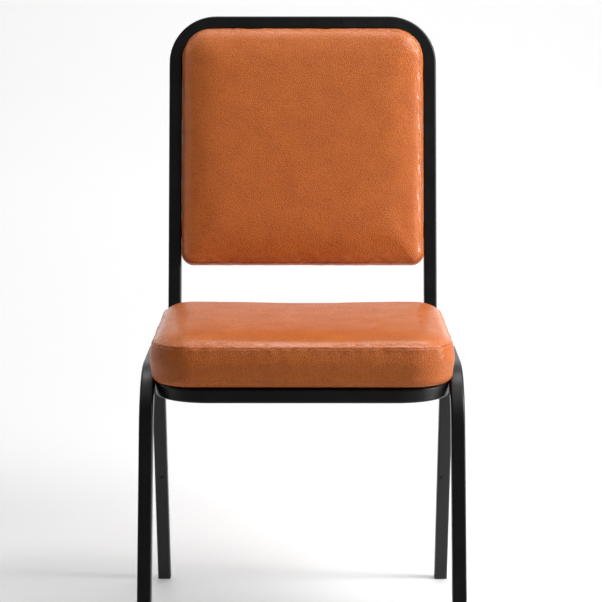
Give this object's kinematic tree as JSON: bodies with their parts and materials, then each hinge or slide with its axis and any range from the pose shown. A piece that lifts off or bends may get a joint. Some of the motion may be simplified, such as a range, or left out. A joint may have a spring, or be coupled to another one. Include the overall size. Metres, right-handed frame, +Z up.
{
  "type": "stacking chair",
  "caption": "Armless stacking chair with bent square-tube side leg frames, a tubular seat loop and back hoop, a boxed leather-look seat cushion and an inset reclined back cushion.",
  "frame": {"origin": "on the floor, in the middle of the chair's footprint box", "axes": "+Z up; the chair's front faces -Y; +X is to the right of someone looking at the front"},
  "size_m": [0.46, 0.5772, 0.8861],
  "materials": {
    "frame": "satin black powder coat",
    "steel": "zinc-plated, dull",
    "screw_black": "black zinc",
    "upholstery": "cognac leatherette, fine pebble grain, satin",
    "foam": "matt open-cell foam",
    "board": "raw plywood",
    "dust_cloth": "black non-woven cloth",
    "glide": "moulded, matt",
    "bumper": "matt"
  },
  "bodies": {
    "root": {"left_leg_frame": "frame", "right_leg_frame": "frame", "seat_loop": "frame", "back_hoop": "frame", "left_joint_sleeve": "steel", "right_joint_sleeve": "steel", "front_cross_rail": "frame", "rear_cross_rail": "frame", "back_mounting_tabs": "frame", "front_left_glide": "glide", "front_right_glide": "glide", "rear_left_glide": "glide", "rear_right_glide": "glide", "left_stacking_bumper": "bumper", "right_stacking_bumper": "bumper", "seat_board": "board", "seat_foam": "foam", "seat_cover": "upholstery", "seat_dust_cover": "dust_cloth", "seat_screws": "screw_black", "seat_washers": "screw_black", "seat_tee_nuts": "steel", "back_board": "board", "back_foam": "foam", "back_cover": "upholstery", "back_rear_panel": "upholstery", "back_screws": "screw_black", "back_tee_nuts": "steel"}
  },
  "joints": []
}
